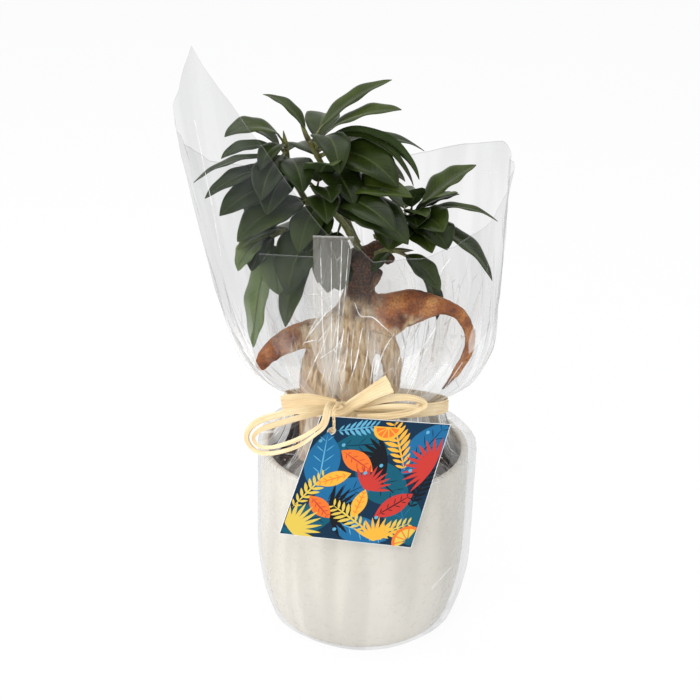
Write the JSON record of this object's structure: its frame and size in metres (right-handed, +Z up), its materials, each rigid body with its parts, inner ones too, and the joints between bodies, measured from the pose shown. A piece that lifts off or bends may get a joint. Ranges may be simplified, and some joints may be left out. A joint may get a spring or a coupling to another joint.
{
  "type": "potted ginseng ficus",
  "caption": "Ginseng ficus with a swollen root and glossy leaves, in a round white cover pot, wrapped in clear film tied with raffia and hung with a square card tag",
  "frame": {"origin": "under the middle of the pot, on the surface that the wrapped pot stands on", "axes": "+Z up along the pot's axis, -Y towards the front where the bow and tag hang, +X to the viewer's right"},
  "size_m": [0.1826, 0.1493, 0.3431],
  "materials": {
    "white_glaze": "gloss",
    "nursery_plastic": "satin",
    "potting_soil": "matte",
    "root_bark": "matte",
    "green_stem": "satin",
    "leaf": "gloss",
    "clear_film": "gloss",
    "raffia": "matte",
    "printed_card": "satin"
  },
  "bodies": {
    "root": {"cover_pot": "white_glaze", "film_wrap": "clear_film", "leaf_01": "leaf", "leaf_02": "leaf", "leaf_03": "leaf", "leaf_04": "leaf", "leaf_05": "leaf", "leaf_06": "leaf", "leaf_07": "leaf", "leaf_08": "leaf", "leaf_09": "leaf", "leaf_10": "leaf", "leaf_11": "leaf", "leaf_12": "leaf", "leaf_13": "leaf", "leaf_14": "leaf", "leaf_15": "leaf", "leaf_16": "leaf", "leaf_17": "leaf", "leaf_18": "leaf", "leaf_19": "leaf", "leaf_20": "leaf", "leaf_21": "leaf", "leaf_22": "leaf", "leaf_23": "leaf", "leaf_24": "leaf", "leaf_25": "leaf", "leaf_26": "leaf", "leaf_27": "leaf", "leaf_28": "leaf", "leaf_29": "leaf", "leaf_30": "leaf", "leaf_31": "leaf", "leaf_32": "leaf", "leaf_33": "leaf", "leaf_34": "leaf", "leaf_35": "leaf", "leaf_36": "leaf", "leaf_37": "leaf", "leaf_38": "leaf", "leaf_39": "leaf", "leaf_40": "leaf", "leaf_41": "leaf", "nursery_pot": "nursery_plastic", "raffia_band": "raffia", "raffia_knot": "raffia", "raffia_loop_left": "raffia", "raffia_loop_right": "raffia", "raffia_tail_left": "raffia", "raffia_tail_right": "raffia", "shoot_centre": "green_stem", "shoot_left": "green_stem", "shoot_low_left": "green_stem", "shoot_low_right": "green_stem", "shoot_right": "green_stem", "shoot_top": "green_stem", "soil": "potting_soil", "tag_card": "printed_card", "tag_string": "raffia", "trunk_and_roots": "root_bark"}
  },
  "joints": []
}
